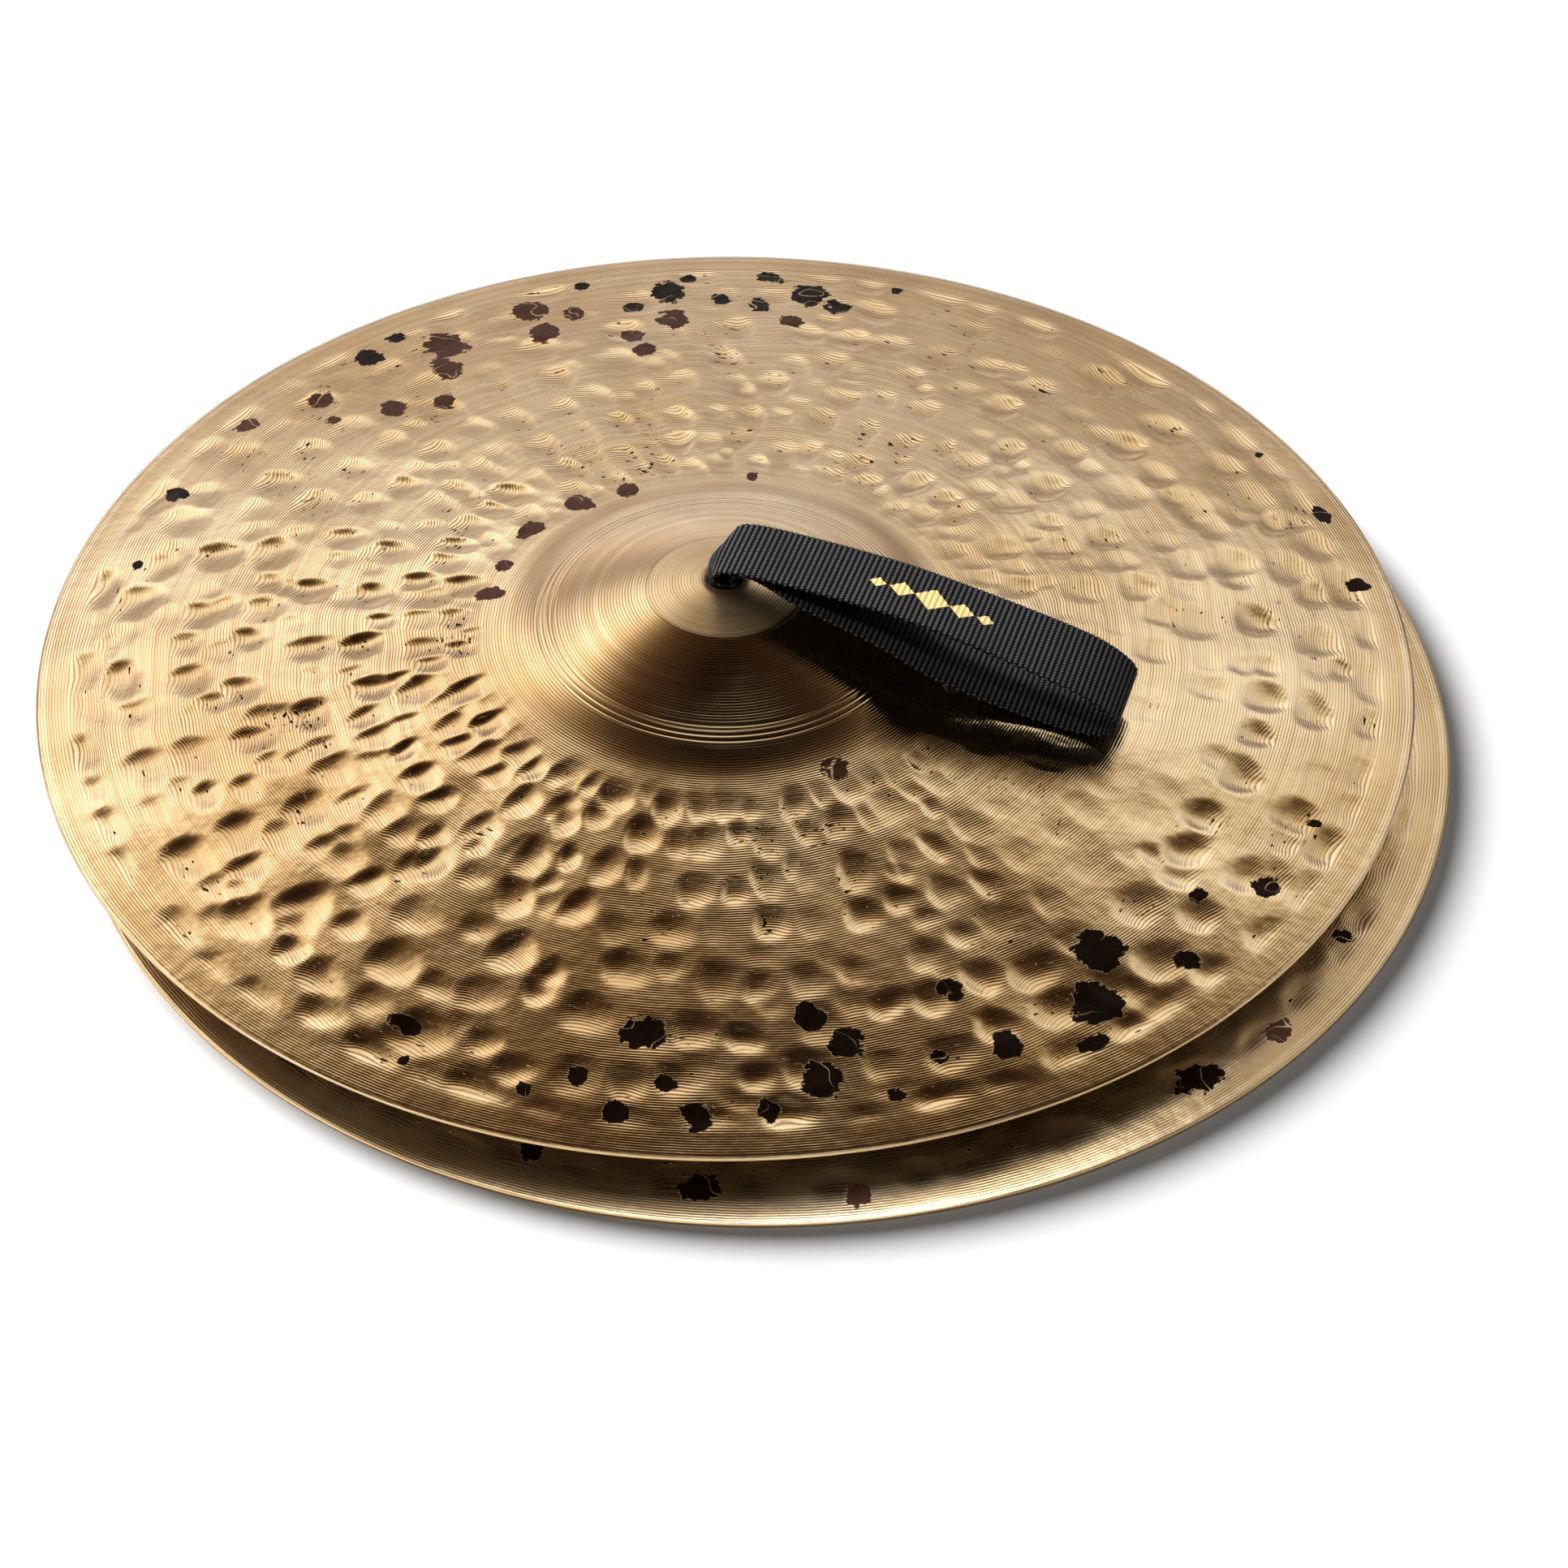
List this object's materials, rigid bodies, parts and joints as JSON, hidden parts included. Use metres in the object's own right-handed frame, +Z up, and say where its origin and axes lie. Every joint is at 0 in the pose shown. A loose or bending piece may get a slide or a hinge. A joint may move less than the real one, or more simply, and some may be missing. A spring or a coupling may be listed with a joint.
{
  "type": "hand cymbals",
  "caption": "Pair of hand-hammered bronze orchestral cymbals stacked crown up, each with a black webbing hand strap knotted through its bell.",
  "frame": {"origin": "centre of the pair's bounding box in X and Y, on the surface that the lower cymbal's rim stands on", "axes": "+Z up, out of the bells; +X to the viewer's right, the way the upper strap mostly points; +Y away from the viewer"},
  "size_m": [0.4692, 0.4658, 0.077],
  "materials": {
    "bronze": "hammered, lathed in fine grooves, satin, with dark unlathed patches",
    "webbing": "black ribbed nylon webbing",
    "leather": "brown vegetable-tanned leather"
  },
  "bodies": {
    "lower_cymbal": {"lower_plate": "bronze", "lower_pad": "leather"},
    "lower_strap_turn": {"lower_knot": "webbing", "lower_neck": "webbing", "lower_tail_a": "webbing", "lower_tail_b": "webbing"},
    "lower_hand_loop": {"lower_loop": "webbing"},
    "upper_cymbal": {"upper_plate": "bronze", "upper_pad": "leather"},
    "upper_strap_turn": {"upper_knot": "webbing", "upper_neck": "webbing", "upper_tail_a": "webbing", "upper_tail_b": "webbing"},
    "upper_hand_loop": {"upper_loop": "webbing"}
  },
  "joints": [
    {"name": "upper_lift_off", "type": "slide", "parent": "lower_cymbal", "child": "upper_cymbal", "axis": [0, 0, 1], "range_m": [0, 0.32]},
    {"name": "upper_strap_swivel", "type": "hinge", "parent": "upper_cymbal", "child": "upper_strap_turn", "pos_m": [-0.006, 0.0043, 0.06], "axis": [0, 0, 1], "continuous": true},
    {"name": "upper_strap_flop", "type": "hinge", "parent": "upper_strap_turn", "child": "upper_hand_loop", "pos_m": [-0.00217, 0.00313, 0.0726], "axis": [-0.2924, -0.9563, 0], "range_deg": [0, 175]},
    {"name": "lower_strap_swivel", "type": "hinge", "parent": "lower_cymbal", "child": "lower_strap_turn", "pos_m": [0.006, -0.0043, 0.04], "axis": [0, 0, 1], "continuous": true},
    {"name": "lower_strap_rise", "type": "hinge", "parent": "lower_strap_turn", "child": "lower_hand_loop", "pos_m": [0.00503, -0.00359, 0.04565], "axis": [0.5878, 0.809, 0], "range_deg": [0, 75.1]}
  ],
  "couplings": [
    {"joint": "lower_strap_rise", "follows": "upper_lift_off", "rad_per_m": 4.0906}
  ]
}
